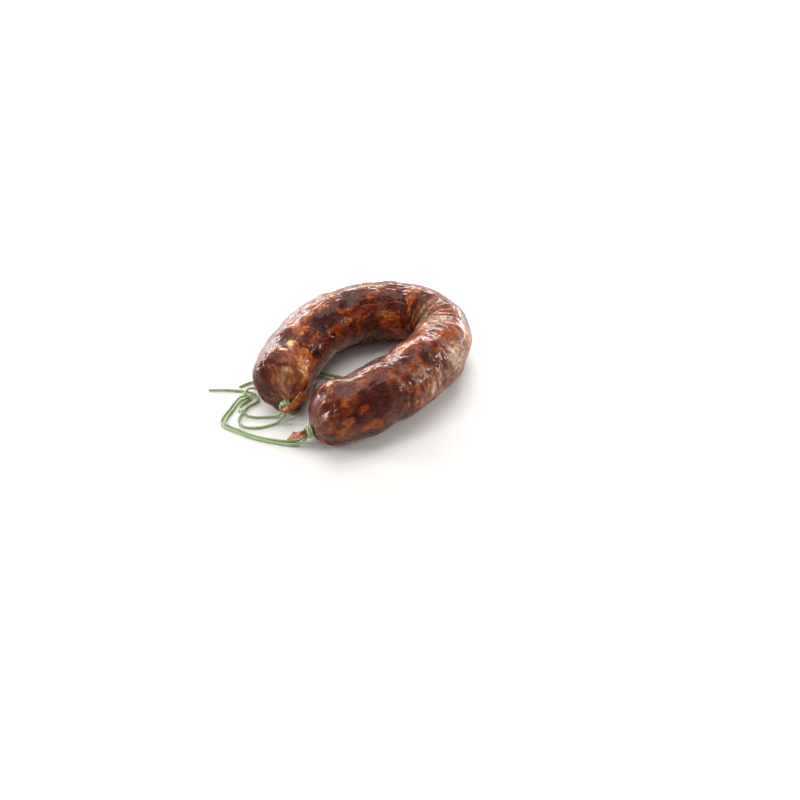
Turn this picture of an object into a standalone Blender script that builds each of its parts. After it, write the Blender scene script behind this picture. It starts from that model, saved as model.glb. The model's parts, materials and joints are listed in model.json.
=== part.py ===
"""A dried, smoked pork sausage bent to a horseshoe and lying flat on its side.

Both ends of its casing are gathered to a neck, tied with cotton twine, and end in a flap of dry casing.
Twine runs from the two ties to a knot beside the sausage, with two cut ends.

The frame: Z up from the surface that it lies on, +Y from the open ends towards the bend, origin at
the middle of the footprint. Sizes here are millimetres, and become metres where a mesh is made.
"""

import bmesh
import bpy
import numpy as np

MM = 0.001

# The centreline seen from above: its start at end A, its first heading, and arcs that turn clockwise.
START = (-21.67, -43.69)
HEADING = 123.59
ARC_LENGTHS = (30.2, 82.8, 34.7, 86.1)
ARC_RADII = (100.3, 57.9, 21.0, 121.6)
ARC_BLEND = 10.0
STEP = 0.25

# The tube: its radius at equal steps from end A to end B, and how far it has sunk onto its flat underside.
RADII = (18.5, 18.4, 18.6, 18.5, 17.5, 19.3, 19.7, 19.2)
SUNK = 0.5

# The closed ends: length, how far the neck lies to the inner side, and bluntness. A closed end falls
# away to the neck with the powers "blunt" and CLOSING, and the neck lies lower than the tube's middle.
END_A = {"length": 17.5, "aside": 4.5, "blunt": 4.6}
END_B = {"length": 18.5, "aside": 1.0, "blunt": 2.3}
NECK_RADIUS = 2.2
NECK_LENGTH = 4.6
NECK_DIP = 0.52
CLOSING = 0.55
PLEATS = 9
PLEAT_DEPTH = 0.13
PLEAT_FADE = 0.7

# Relief. Angles go round the tube: 0 outer side of the bend, 90 top, 180 inner side, 270 underside.
BEND_AT = 128.0
BEND_REACH = 20.0
INNER_PINCH = 0.055
TIGHT_BEND = 1.6
LUMPS = ((31.0, 0.4, 1, 0.55), (19.0, 2.1, 2, 0.32), (47.0, 4.0, 3, 0.35), (12.5, 1.2, 1, 0.18))
CREASES = (
    (101.0, 0.7), (108.0, 0.9), (114.5, 1.2), (120.5, 0.8),
    (126.0, 1.1), (133.0, 1.0), (140.0, 0.8), (147.5, 0.6),
)
CREASE_WIDTH = 1.9
CREASE_MIDDLE = 140.0
CREASE_SPREAD = 75.0
WRINKLES = {"from": 150.0, "to": 205.0, "spacing": 7.2, "depth": 0.45, "middle": 20.0, "spread": 80.0}

SIDES = 32
BODY_SPACING = 3.3
BEND_SPACING = 1.9
END_RINGS = 9

# The flap of casing past each tie: places along it from inside the neck's end, its widths and thicknesses,
# and the way that its flat side faces.
FLAP_FROM = 1.95
FLAP_SPACING = 1.6
FLAP_SIDES = 10
FLAP_A_FACES = (0.52, -0.53, 0.67)
FLAP_A = (
    ((0.0, 0.0, 0.0), 3.6, 3.0),
    ((0.8, -1.2, 0.2), 3.6, 2.6),
    ((3.2, -1.0, 2.0), 4.0, 2.0),
    ((5.2, 2.4, 4.2), 4.8, 1.6),
    ((5.4, 7.6, 7.0), 5.8, 1.5),
    ((5.4, 12.9, 9.4), 7.4, 1.3),
)
FLAP_B_FACES = (0.20, -0.55, 0.81)
FLAP_B = (
    ((0.0, 0.0, 0.0), 3.6, 3.0),
    ((-0.5, -1.2, -0.2), 3.6, 2.6),
    ((-2.4, -2.8, -1.5), 4.2, 2.0),
    ((-5.4, -3.8, -3.5), 5.2, 1.6),
    ((-8.4, -4.2, -5.0), 6.4, 1.3),
)

# Twine: its thickness, the gap to what it meets, and the height of its middle as it lies.
TWINE = 1.7
GAP = 0.3
LYING = 0.9
OVER = LYING + TWINE + 0.2
TWINE_SPACING = 3.6

# A tie: wraps of twine round the neck, the corners of a wrap's outer side and how far its foot is tucked
# in, in radii, and how far its knot stands out on the underside.
TIE_WRAPS = 2
WRAP_CORNERS = (150.0, 110.0, 70.0, 30.0)
WRAP_TUCK = 0.3
TIE_SEGMENTS = 24
TIE_KNOT = 1.3
TIE_KNOT_SPREAD = 28.0

# The knot beside the sausage: its middle and half sizes.
KNOT_AT = (-36.8, -62.3, 2.0)
KNOT_HALF = (4.2, 3.2, 2.1)

# Each strand's route as it lies on the surface. A third number lifts it over a strand or up to a tie.
ROUTES = {
    "twine_long_end": (
        (-58.5, -73.4), (-51.6, -66.7), (-43.5, -60.2), (-40.2, -58.3), (-36.6, -57.1), (-33.2, -57.0),
        (-30.6, -58.7), (-30.2, -62.1), (-30.6, -66.6), (-29.4, -71.0), (-27.6, -75.0), (-25.6, -78.5),
        (-21.8, -80.7), (-16.5, -79.1), (-12.0, -74.6), (-9.0, -69.1), (-7.2, -64.6, 1.4),
        (-6.1, -61.2, 3.7), (-5.8, -60.0, 4.7),
    ),
    "twine_outer": (
        (-39.9, -66.0), (-39.2, -69.5), (-37.2, -74.4), (-35.5, -79.0), (-33.9, -83.7), (-31.6, -87.2),
        (-27.9, -88.6), (-24.0, -87.7), (-19.5, -86.6), (-12.5, -84.8), (-5.0, -81.8), (3.0, -77.6),
        (10.0, -73.6), (15.0, -69.6, 1.2), (17.3, -66.6, 3.6), (17.6, -65.5, 4.7),
    ),
    "twine_outer_pair": (
        (-37.5, -66.6), (-37.1, -69.3), (-35.1, -73.7), (-33.4, -78.3), (-31.8, -82.7), (-30.1, -85.1),
        (-27.6, -86.1), (-23.8, -85.5), (-19.0, -84.4), (-12.0, -82.6), (-4.4, -79.4), (3.2, -75.0),
        (8.8, -70.6), (12.6, -66.6, 1.4), (14.6, -64.0, 3.3), (15.2, -62.9, 4.1),
    ),
    "twine_inner": (
        (-34.2, -66.2), (-34.4, -69.0), (-32.5, -72.1), (-28.7, -73.2, OVER), (-24.6, -72.5), (-19.8, -69.8),
        (-15.5, -65.8), (-11.8, -61.8, 1.8), (-9.7, -59.6, 3.8),
    ),
    "twine_short_end": (
        (-47.3, -57.6), (-46.7, -55.7), (-45.9, -52.4), (-44.2, -48.9), (-41.2, -47.4), (-38.6, -49.1),
        (-38.6, -52.3), (-40.2, -55.0, 1.9), (-40.6, -57.7, OVER), (-40.1, -59.4, OVER),
    ),
    "twine_gap": (
        (-4.2, -55.8, 3.8), (-4.4, -53.0, 1.9), (-5.2, -49.8), (-7.6, -44.4), (-9.8, -38.0), (-11.6, -32.0),
        (-14.6, -26.6), (-18.8, -23.6), (-20.4, -20.4), (-17.6, -17.4), (-13.2, -15.7), (-7.5, -14.2),
        (-2.0, -13.6), (1.8, -11.2), (1.2, -7.6), (-2.8, -7.0), (-7.3, -8.7), (-14.0, -12.0),
        (-20.7, -15.2), (-23.8, -16.7),
    ),
}

COLOURS = {
    "casing": ((0.115, 0.030, 0.018, 1.0), 0.34),
    "twine": ((0.33, 0.43, 0.20, 1.0), 0.90),
}


def clear_scene():
    for thing in list(bpy.data.objects):
        bpy.data.objects.remove(thing, do_unlink=True)


def material(name):
    colour, roughness = COLOURS[name]
    made = bpy.data.materials.new(name)
    made.use_nodes = True
    shader = made.node_tree.nodes["Principled BSDF"]
    shader.inputs["Base Color"].default_value = colour
    shader.inputs["Roughness"].default_value = roughness
    shader.inputs["Metallic"].default_value = 0.0
    return made


def centreline():
    """Stations, places and headings along the middle of the tube, without its closed ends."""
    stations = np.arange(0.0, sum(ARC_LENGTHS) + STEP / 2, STEP)
    bends = [1.0 / radius for radius in ARC_RADII]
    turning = np.full(len(stations), bends[0])
    for joint, before, after in zip(np.cumsum(ARC_LENGTHS)[:-1], bends, bends[1:]):
        turning += (after - before) * 0.5 * (1 + np.tanh((stations - joint) / ARC_BLEND))
    heading = np.radians(HEADING) - np.concatenate([[0], np.cumsum((turning[1:] + turning[:-1]) / 2 * STEP)])
    half = (heading[1:] + heading[:-1]) / 2
    x = START[0] + np.concatenate([[0], np.cumsum(np.cos(half) * STEP)])
    y = START[1] + np.concatenate([[0], np.cumsum(np.sin(half) * STEP)])
    return stations, np.stack([x, y], axis=1), heading


STATIONS, PLACES, HEADINGS = centreline()
LENGTH = STATIONS[-1]


def tube_radius(station):
    return np.interp(station, np.linspace(0, LENGTH, len(RADII)), RADII)


def place_at(station):
    """The centreline's place and heading at a station."""
    x = np.interp(station, STATIONS, PLACES[:, 0])
    y = np.interp(station, STATIONS, PLACES[:, 1])
    return np.array([x, y]), np.interp(station, STATIONS, HEADINGS)


def near(angle, middle, spread):
    """1 at the middle angle, falling to 0 at the spread to either side, in degrees."""
    off = np.abs((angle - middle + 180.0) % 360.0 - 180.0)
    return np.cos(np.clip(off / spread, 0, 1) * np.pi / 2) ** 2


def relief(station, angle):
    """How far the casing stands out of the plain tube, in mm, at a station and the angles round it."""
    turn = np.radians(angle)
    out = np.zeros_like(angle)
    for wave, phase, lobes, height in LUMPS:
        out += height * np.sin(2 * np.pi * station / wave + phase) * np.cos(lobes * turn + phase * 2)
    for at, depth in CREASES:
        falls = np.exp(-(((station - at) / CREASE_WIDTH) ** 2))
        out -= depth * falls * near(angle, CREASE_MIDDLE, CREASE_SPREAD)
    w = WRINKLES
    if w["from"] < station < w["to"]:
        fade = np.sin(np.pi * (station - w["from"]) / (w["to"] - w["from"]))
        wave = np.cos(2 * np.pi * (station - w["from"]) / w["spacing"] + 0.6 * np.sin(2 * turn))
        out += w["depth"] * fade * wave * near(angle, w["middle"], w["spread"])
    return out


def body_ring(station, angle):
    """One ring of points round the tube between its closed ends."""
    (x, y), heading = place_at(station)
    radius = tube_radius(station)
    squeeze = INNER_PINCH * np.exp(-(((station - BEND_AT) / BEND_REACH) ** 2)) * near(angle, 180.0, 90.0)
    spread = radius * (1 - squeeze) + relief(station, angle)
    side, up = spread * np.cos(np.radians(angle)), spread * np.sin(np.radians(angle))
    outward = np.array([-np.sin(heading), np.cos(heading)])
    points = np.empty((len(angle), 3))
    points[:, 0] = x + side * outward[0]
    points[:, 1] = y + side * outward[1]
    points[:, 2] = np.maximum(radius - SUNK + up, 0.0)
    return points


def end_frame(which):
    """Where a closed end starts, the way out of it, the outer side and the tube's radius there."""
    station = 0.0 if which == "a" else LENGTH
    place, heading = place_at(station)
    out_sign = -1.0 if which == "a" else 1.0
    way_out = out_sign * np.array([np.cos(heading), np.sin(heading)])
    outward = np.array([-np.sin(heading), np.cos(heading)])
    return station, place, way_out, outward, tube_radius(station)


def end_ring(which, shape, share, angle):
    """One ring of a closed end, share 0 at the tube and 1 at the neck, and past 1 along the neck."""
    station, place, way_out, outward, radius = end_frame(which)
    closing = (1 - min(share, 1.0) ** shape["blunt"]) ** CLOSING
    along = min(share, 1.0) * shape["length"] + max(share - 1.0, 0.0) * NECK_LENGTH
    size = NECK_RADIUS + (radius - NECK_RADIUS) * closing
    pleats = 1 + PLEAT_DEPTH * (1 - closing) ** PLEAT_FADE * np.cos(PLEATS * np.radians(angle))
    spread = size * pleats + relief(station, angle) * closing
    aside = shape["aside"] * (1 - closing)
    middle = place + way_out * along - outward * aside
    side, up = spread * np.cos(np.radians(angle)), spread * np.sin(np.radians(angle))
    points = np.empty((len(angle), 3))
    points[:, 0] = middle[0] + side * outward[0]
    points[:, 1] = middle[1] + side * outward[1]
    height = radius - SUNK - NECK_DIP * (radius - size)
    points[:, 2] = np.maximum(height + up, 0.0)
    return points


def neck_middle(which, shape, share):
    """The middle of the neck, share 1 where it starts and 2 where it ends."""
    _, place, way_out, outward, radius = end_frame(which)
    flat = place + way_out * (shape["length"] + (share - 1) * NECK_LENGTH) - outward * shape["aside"]
    return np.array([flat[0], flat[1], radius - SUNK - NECK_DIP * (radius - NECK_RADIUS)])


def body_stations():
    """Stations of the rings, closer together in the bend."""
    found, station = [], BODY_SPACING
    while station < LENGTH - BODY_SPACING / 2:
        found.append(station)
        in_bend = abs(station - BEND_AT) < TIGHT_BEND * BEND_REACH
        station += BEND_SPACING if in_bend else BODY_SPACING
    return found


def all_rings():
    angle = np.arange(SIDES) * 360.0 / SIDES
    shares = np.sin(np.linspace(0, np.pi / 2, END_RINGS)) ** 0.9
    rings = [end_ring("a", END_A, 2.0, angle)]
    rings += [end_ring("a", END_A, share, angle) for share in shares[::-1]]
    rings += [body_ring(station, angle) for station in body_stations()]
    rings += [end_ring("b", END_B, share, angle) for share in shares]
    rings.append(end_ring("b", END_B, 2.0, angle))
    return rings


def skin(name, rings, ends_meet=False):
    """A closed mesh over a row of rings. Its first and last ring are capped, or meet as in a hoop."""
    mesh = bmesh.new()
    loops = [[mesh.verts.new(tuple(point * MM)) for point in ring] for ring in rings]
    pairs = list(zip(loops, loops[1:]))
    if ends_meet:
        pairs.append((loops[-1], loops[0]))
    else:
        mesh.faces.new(loops[0][::-1])
        mesh.faces.new(loops[-1])
    for lower, upper in pairs:
        for i, corner in enumerate(lower):
            j = (i + 1) % len(lower)
            mesh.faces.new((corner, lower[j], upper[j], upper[i]))
    bmesh.ops.recalc_face_normals(mesh, faces=mesh.faces)
    data = bpy.data.meshes.new(name)
    mesh.to_mesh(data)
    mesh.free()
    data.shade_smooth()
    made = bpy.data.objects.new(name, data)
    bpy.context.collection.objects.link(made)
    return made


def smooth(points, spacing):
    """Places at even spacing on a smooth curve through the given points."""
    points = np.asarray(points, float)
    ends = [2 * points[0] - points[1]], [2 * points[-1] - points[-2]]
    padded = np.concatenate([ends[0], points, ends[1]])
    dense = []
    for p0, p1, p2, p3 in zip(padded, padded[1:], padded[2:], padded[3:]):
        t = np.linspace(0, 1, 24, endpoint=False)[:, None]
        dense.append(0.5 * (2 * p1 + (p2 - p0) * t + (2 * p0 - 5 * p1 + 4 * p2 - p3) * t**2
                            + (3 * p1 - p0 - 3 * p2 + p3) * t**3))
    dense = np.concatenate(dense + [points[-1:]])
    run = np.concatenate([[0], np.cumsum(np.linalg.norm(np.diff(dense, axis=0), axis=1))])
    even = np.linspace(0, run[-1], max(3, round(run[-1] / spacing) + 1))
    return np.stack([np.interp(even, run, dense[:, axis]) for axis in range(3)], axis=1)


def flap_rings(which, shape, sections, faces):
    """Rings of the flap past a tie, from inside the neck's end to its tip."""
    start = neck_middle(which, shape, FLAP_FROM)
    middles = np.array([place for place, _, _ in sections]) + start
    path = smooth(middles, FLAP_SPACING)
    share = np.linspace(0, len(sections) - 1, len(path))
    widths = np.interp(share, range(len(sections)), [width for _, width, _ in sections]) / 2
    depths = np.interp(share, range(len(sections)), [depth for _, _, depth in sections]) / 2
    ways = np.gradient(path, axis=0)
    rings = []
    for middle, way, width, depth in zip(path, ways, widths, depths):
        way = way / np.linalg.norm(way)
        across = np.cross(way, faces)
        across /= np.linalg.norm(across)
        through = np.cross(across, way)
        turn = np.arange(FLAP_SIDES) * 2 * np.pi / FLAP_SIDES
        ring = np.outer(width * np.cos(turn), across) + np.outer(depth * np.sin(turn), through)
        rings.append(middle + ring)
    return rings


def join_flaps(body, flaps):
    """Fuses the flaps to the sausage, and keeps the one solid."""
    group = bpy.data.collections.new("flaps")
    for flap in flaps:
        bpy.context.collection.objects.unlink(flap)
        group.objects.link(flap)
    union = body.modifiers.new("flaps", "BOOLEAN")
    union.operation = "UNION"
    union.operand_type = "COLLECTION"
    union.collection = group
    union.solver = "EXACT"
    graph = bpy.context.evaluated_depsgraph_get()
    fused = bpy.data.meshes.new_from_object(body.evaluated_get(graph), depsgraph=graph)
    body.modifiers.clear()
    body.data = fused
    for flap in flaps:
        bpy.data.objects.remove(flap, do_unlink=True)
    bpy.data.collections.remove(group)
    body.data.shade_smooth()


def make_sausage():
    body = skin("sausage", all_rings())
    flaps = [
        skin("flap_a", flap_rings("a", END_A, FLAP_A, FLAP_A_FACES)),
        skin("flap_b", flap_rings("b", END_B, FLAP_B, FLAP_B_FACES)),
    ]
    join_flaps(body, flaps)
    body.data.materials.clear()
    body.data.materials.append(material("casing"))
    return body


def wraps_profile():
    """Half the outline of side-by-side wraps, as places along the neck and heights over its skin."""
    radius = TWINE / 2
    profile = []
    for wrap in range(TIE_WRAPS):
        middle = (wrap - (TIE_WRAPS - 1) / 2) * TWINE
        for turn in np.radians(WRAP_CORNERS):
            profile.append((middle + radius * np.cos(turn), radius + radius * np.sin(turn)))
    reach = TIE_WRAPS * radius - radius * WRAP_TUCK
    return [(-reach, 0.0)] + profile + [(reach, 0.0)]


def make_tie(which, shape):
    """Wraps round one neck, with the knot as a swelling on the underside."""
    middle = neck_middle(which, shape, 1.5)
    _, _, way_out, outward, _ = end_frame(which)
    along = np.array([*way_out, 0.0])
    across = np.array([*outward, 0.0])
    inside = NECK_RADIUS * (1 + PLEAT_DEPTH) + GAP
    rings = []
    for angle in np.arange(TIE_SEGMENTS) * 360.0 / TIE_SEGMENTS:
        way = across * np.cos(np.radians(angle)) + np.array([0, 0, 1.0]) * np.sin(np.radians(angle))
        off = abs((angle - 270.0 + 180.0) % 360.0 - 180.0)
        swell = 1 + TIE_KNOT / TWINE * np.exp(-((off / TIE_KNOT_SPREAD) ** 2))
        rings.append(np.array([middle + along * x + way * (inside + y * swell) for x, y in wraps_profile()]))
    tie = skin("tie_" + which, rings, ends_meet=True)
    tie.data.materials.append(material("twine"))


def make_knot():
    """The knot that lies beside the sausage: a lump with the crossing strands as ridges."""
    mesh = bmesh.new()
    bmesh.ops.create_icosphere(mesh, subdivisions=3, radius=1.0)
    for vert in mesh.verts:
        ridge = 1 - 0.13 * abs(np.sin(2.5 * np.arctan2(vert.co.y, vert.co.x) + 2 * vert.co.z))
        for axis in range(3):
            vert.co[axis] = (KNOT_AT[axis] + KNOT_HALF[axis] * vert.co[axis] * ridge) * MM
    data = bpy.data.meshes.new("knot")
    mesh.to_mesh(data)
    mesh.free()
    data.shade_smooth()
    knot = bpy.data.objects.new("knot", data)
    bpy.context.collection.objects.link(knot)
    data.materials.append(material("twine"))


def make_strand(name, route):
    """A strand of twine as a round tube along a smooth curve through its route."""
    lying = [(*place, LYING)[:3] for place in route]
    points = smooth(lying, TWINE_SPACING)
    curve = bpy.data.curves.new(name, "CURVE")
    curve.dimensions = "3D"
    curve.bevel_depth = TWINE / 2 * MM
    curve.bevel_resolution = 2
    curve.use_fill_caps = True
    spline = curve.splines.new("POLY")
    spline.points.add(len(points) - 1)
    for point, (x, y, z) in zip(spline.points, points):
        point.co = (x * MM, y * MM, max(z, LYING) * MM, 1.0)
    curve.materials.append(material("twine"))
    bpy.context.collection.objects.link(bpy.data.objects.new(name, curve))


def main():
    clear_scene()
    make_sausage()
    make_tie("a", END_A)
    make_tie("b", END_B)
    make_knot()
    for name, route in ROUTES.items():
        make_strand(name, route)


main()
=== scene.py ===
# %% [markdown]
# # A horseshoe sausage under its casing
# This is a dried, smoked sausage of coarse pork, bent to a horseshoe and tied with green cotton twine.
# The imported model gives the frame: every size and place below follows its solids. All sizes in this
# lesson are millimetres, and become metres where a mesh, a light or the camera is made.

import json

import bpy
import numpy as np
from mathutils import Matrix, Vector

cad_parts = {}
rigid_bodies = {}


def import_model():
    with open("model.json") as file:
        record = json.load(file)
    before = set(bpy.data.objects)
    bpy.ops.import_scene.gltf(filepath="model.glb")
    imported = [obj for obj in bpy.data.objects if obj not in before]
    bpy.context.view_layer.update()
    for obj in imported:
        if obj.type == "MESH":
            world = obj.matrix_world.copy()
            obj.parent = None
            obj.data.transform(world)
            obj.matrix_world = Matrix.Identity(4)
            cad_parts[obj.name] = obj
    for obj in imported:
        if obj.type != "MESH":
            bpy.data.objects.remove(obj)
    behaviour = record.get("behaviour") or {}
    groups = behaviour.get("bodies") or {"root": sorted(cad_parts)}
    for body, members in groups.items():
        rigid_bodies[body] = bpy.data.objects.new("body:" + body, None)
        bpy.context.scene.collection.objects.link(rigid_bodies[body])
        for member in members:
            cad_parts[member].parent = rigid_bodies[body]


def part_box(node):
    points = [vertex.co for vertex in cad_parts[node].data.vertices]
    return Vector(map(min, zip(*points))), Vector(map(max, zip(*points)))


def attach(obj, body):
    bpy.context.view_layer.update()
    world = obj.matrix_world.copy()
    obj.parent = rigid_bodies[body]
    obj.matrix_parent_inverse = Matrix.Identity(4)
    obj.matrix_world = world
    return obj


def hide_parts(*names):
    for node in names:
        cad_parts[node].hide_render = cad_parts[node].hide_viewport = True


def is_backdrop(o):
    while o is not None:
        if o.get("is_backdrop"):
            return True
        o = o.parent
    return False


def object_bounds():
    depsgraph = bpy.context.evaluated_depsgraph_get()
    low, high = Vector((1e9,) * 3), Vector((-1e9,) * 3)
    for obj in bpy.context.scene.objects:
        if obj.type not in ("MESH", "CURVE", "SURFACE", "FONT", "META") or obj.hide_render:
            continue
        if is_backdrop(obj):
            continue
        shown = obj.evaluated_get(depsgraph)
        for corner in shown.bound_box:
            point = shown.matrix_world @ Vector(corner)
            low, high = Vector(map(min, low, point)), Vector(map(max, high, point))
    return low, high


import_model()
cad_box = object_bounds()
MM = 0.001
lowest, highest = (np.array(corner) / MM for corner in cad_box)
print("frame from", lowest.round(1), "to", highest.round(1), "mm")

# %% [markdown]
# ## The camera
# The photograph looks down on the plane of the sausage at 42 degrees, turned 44 degrees to its left.
# A camera is often placed by hand until it looks right. Here it is worked out instead: it looks along one
# axis at a point on the table, so that the picture's middle and scale are those of the photograph.

# %% Place the camera
AIM = np.array([30.0, 0.9, 0.0])
TURN = np.radians(44.0)
ELEVATION = np.radians(42.0)
DISTANCE = 900.0
FOCAL_SHARE = 1500 / 800
SENSOR = 36.0

turned = np.array(Matrix.Rotation(TURN, 3, "Z"))
to_right, away = turned[:, 0], turned[:, 1]
looking = away * np.cos(ELEVATION) - np.array([0, 0, np.sin(ELEVATION)])

camera_data = bpy.data.cameras.new("camera")
camera_data.sensor_width = SENSOR
camera_data.lens = SENSOR * FOCAL_SHARE
camera = bpy.data.objects.new("camera", camera_data)
bpy.context.scene.collection.objects.link(camera)
camera.location = Vector((AIM - looking * DISTANCE) * MM)
camera.rotation_euler = Vector(looking).to_track_quat("-Z", "Y").to_euler()
bpy.context.scene.camera = camera
print("camera at", np.array(camera.location).round(3), "m, lens", camera_data.lens, "mm")

# %% [markdown]
# ## Colours and nodes
# Colours are given as sRGB hex values, but Blender's shaders add up light, so
# they need linear values. One function turns the one into the other, and one small function adds a node.

# %% Colour and node helpers
SRGB_KNEE = 0.04045


def linear(colour):
    """The linear red, green, blue and alpha of an sRGB hex value such as 'a0522d'."""
    parts = [int(colour[i:i + 2], 16) / 255 for i in (0, 2, 4)]
    return [c / 12.92 if c <= SRGB_KNEE else ((c + 0.055) / 1.055) ** 2.4 for c in parts] + [1.0]


def add(tree, kind, settings=None, links=None):
    """Adds one node. Settings are its attributes, colour stops or socket values, links join its sockets."""
    node = tree.nodes.new(kind)
    for name, value in (settings or {}).items():
        if name == "stops":
            band = node.color_ramp.elements
            while len(band) < len(value):
                band.new(0.5)
            for element, (place, colour) in zip(band, value):
                element.position = place
                element.color = linear(colour)
        elif isinstance(name, str) and hasattr(node, name):
            setattr(node, name, value)
        else:
            node.inputs[name].default_value = value
    for name, source in (links or {}).items():
        tree.links.new(source, node.inputs[name])
    return node


def new_material(name, **shader):
    """A material with its Principled shader's plain values set, its tree and its shader node."""
    made = bpy.data.materials.new(name)
    made.use_nodes = True
    bsdf = made.node_tree.nodes["Principled BSDF"]
    for socket, value in shader.items():
        bsdf.inputs[socket.replace("_", " ")].default_value = value
    return made, made.node_tree, bsdf


print("brick brown is", [round(c, 3) for c in linear("6e3f31")])

# %% [markdown]
# ## Meshes from rings
# Nearly everything here is a tube: twine, the flaps and the sausage itself. A curve with a bevel would do
# for plain tubes. Rings of points joined by faces let each ring have its own outline, which is what plied
# twine and gathered casing need, and the mesh is closed by a cap at each end.

# %% Tubes and smooth paths
def smooth(points, spacing):
    """Places at even spacing on a smooth curve through the given points."""
    points = np.asarray(points, float)
    padded = np.concatenate([2 * points[:1] - points[1:2], points, 2 * points[-1:] - points[-2:-1]])
    dense = []
    for p0, p1, p2, p3 in zip(padded, padded[1:], padded[2:], padded[3:]):
        t = np.linspace(0, 1, 24, endpoint=False)[:, None]
        dense.append(0.5 * (2 * p1 + (p2 - p0) * t + (2 * p0 - 5 * p1 + 4 * p2 - p3) * t**2
                            + (3 * p1 - p0 - 3 * p2 + p3) * t**3))
    dense = np.concatenate(dense + [points[-1:]])
    run = np.concatenate([[0], np.cumsum(np.linalg.norm(np.diff(dense, axis=0), axis=1))])
    even = np.linspace(0, run[-1], max(3, round(run[-1] / spacing) + 1))
    return np.stack([np.interp(even, run, dense[:, axis]) for axis in range(3)], axis=1)


def length_of(path):
    return float(np.linalg.norm(np.diff(path, axis=0), axis=1).sum())


def frames_along(path):
    """Two directions square to the path at each of its points, carried along without twist."""
    ways = np.gradient(path, axis=0)
    ways /= np.linalg.norm(ways, axis=1, keepdims=True)
    side = np.cross(ways[0], (0.0, 0.3, 1.0))
    sides = []
    for way in ways:
        side = side - way * (side @ way)
        side = side / np.linalg.norm(side)
        sides.append(side)
    sides = np.array(sides)
    return sides, np.cross(ways, sides)


def tube_faces(rings, around, start=0):
    """The quads between rings of points, and a fan of triangles over each end."""
    i = np.arange(rings - 1)[:, None] * around
    j = np.arange(around)[None, :]
    k = (j + 1) % around
    quads = np.stack([i + j, i + k, i + around + k, i + around + j], axis=-1).reshape(-1, 4) + start
    caps = [start + np.arange(around)[::-1], start + (rings - 1) * around + np.arange(around)]
    return [tuple(quad) for quad in quads.tolist()] + [tuple(cap.tolist()) for cap in caps]


def mesh_object(name, points, faces, attributes=None):
    """A smooth-shaded object over points in millimetres, with values stored at its points."""
    data = bpy.data.meshes.new(name)
    data.from_pydata([tuple(p) for p in (np.asarray(points) * MM).tolist()], [], faces)
    for key, values in (attributes or {}).items():
        values = np.asarray(values, np.float32)
        kind, field = ("FLOAT", "value") if values.ndim == 1 else ("FLOAT_VECTOR", "vector")
        data.attributes.new(key, kind, "POINT").data.foreach_set(field, values.ravel())
    data.update()
    data.shade_smooth()
    made = bpy.data.objects.new(name, data)
    bpy.context.scene.collection.objects.link(made)
    return made


# %% [markdown]
# ## Random but repeatable detail
# Food is uneven at every scale. A noise texture gives that in a material, but the lumps and wrinkles here
# are real relief, so the same kind of noise is made in numpy: random heights on the corners of a cubic
# lattice, blended in between. Every draw is seeded, so each run gives the same sausage.

# %% Lattice noise
LATTICE = 48


def noise(points, size, seed):
    """Smooth random values, mostly from -1 to 1, that change over about `size` mm."""
    table = np.random.default_rng(seed).uniform(-1.6, 1.6, (LATTICE, LATTICE, LATTICE))
    cell = np.asarray(points, float) / size
    low = np.floor(cell).astype(int)
    t = cell - low
    t = t * t * (3 - 2 * t)
    total = np.zeros(cell.shape[:-1])
    for corner in np.ndindex(2, 2, 2):
        weight = np.prod(np.where(corner, t, 1 - t), axis=-1)
        i, j, k = np.moveaxis((low + corner) % LATTICE, -1, 0)
        total += weight * table[i, j, k]
    return total


print("noise spread", noise(np.random.default_rng(1).uniform(0, 90, (4000, 3)), 7.0, 5).std().round(2))

# %% [markdown]
# ## Cotton twine
# The twine is a soft green butcher's cotton of three plies, laid up with a twist of about seven
# millimetres. A curve with a round bevel would look like wire. Here each ring of the tube has three
# lobes, and the rings turn along the strand, so the plies and the dark grooves between them are real.
# Loose fibres stand out of it, and a cut end is a small brush of them.

# %% Plied twine
TWINE = 1.7
PLIES = 3
TWIST = 6.6
GROOVE = 0.26
TWINE_AROUND = 21
TWINE_STEP = 0.34
WANDER = 0.10
FIBRE = 0.05
FIBRE_EVERY = 0.42
FIBRE_LENGTHS = (0.3, 1.1)
BRUSH_FIBRES = 34
BRUSH_LENGTHS = (0.6, 1.5)
ABOVE_FLOOR = 0.02
rng = np.random.default_rng(11)


def fibre(start, way, long, droop):
    """One loose fibre: a thin three-sided tube that bends as it leaves the strand."""
    t = np.linspace(0, 1, 4)[:, None]
    line = start + way * long * t + droop * long * t**2
    sides, ups = frames_along(line)
    turn = np.arange(3) * 2 * np.pi / 3
    thin = FIBRE * (1.15 - t)
    ring = sides[:, None] * np.cos(turn)[None, :, None] + ups[:, None] * np.sin(turn)[None, :, None]
    return (line[:, None] + ring * thin[:, None]).reshape(-1, 3)


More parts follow.
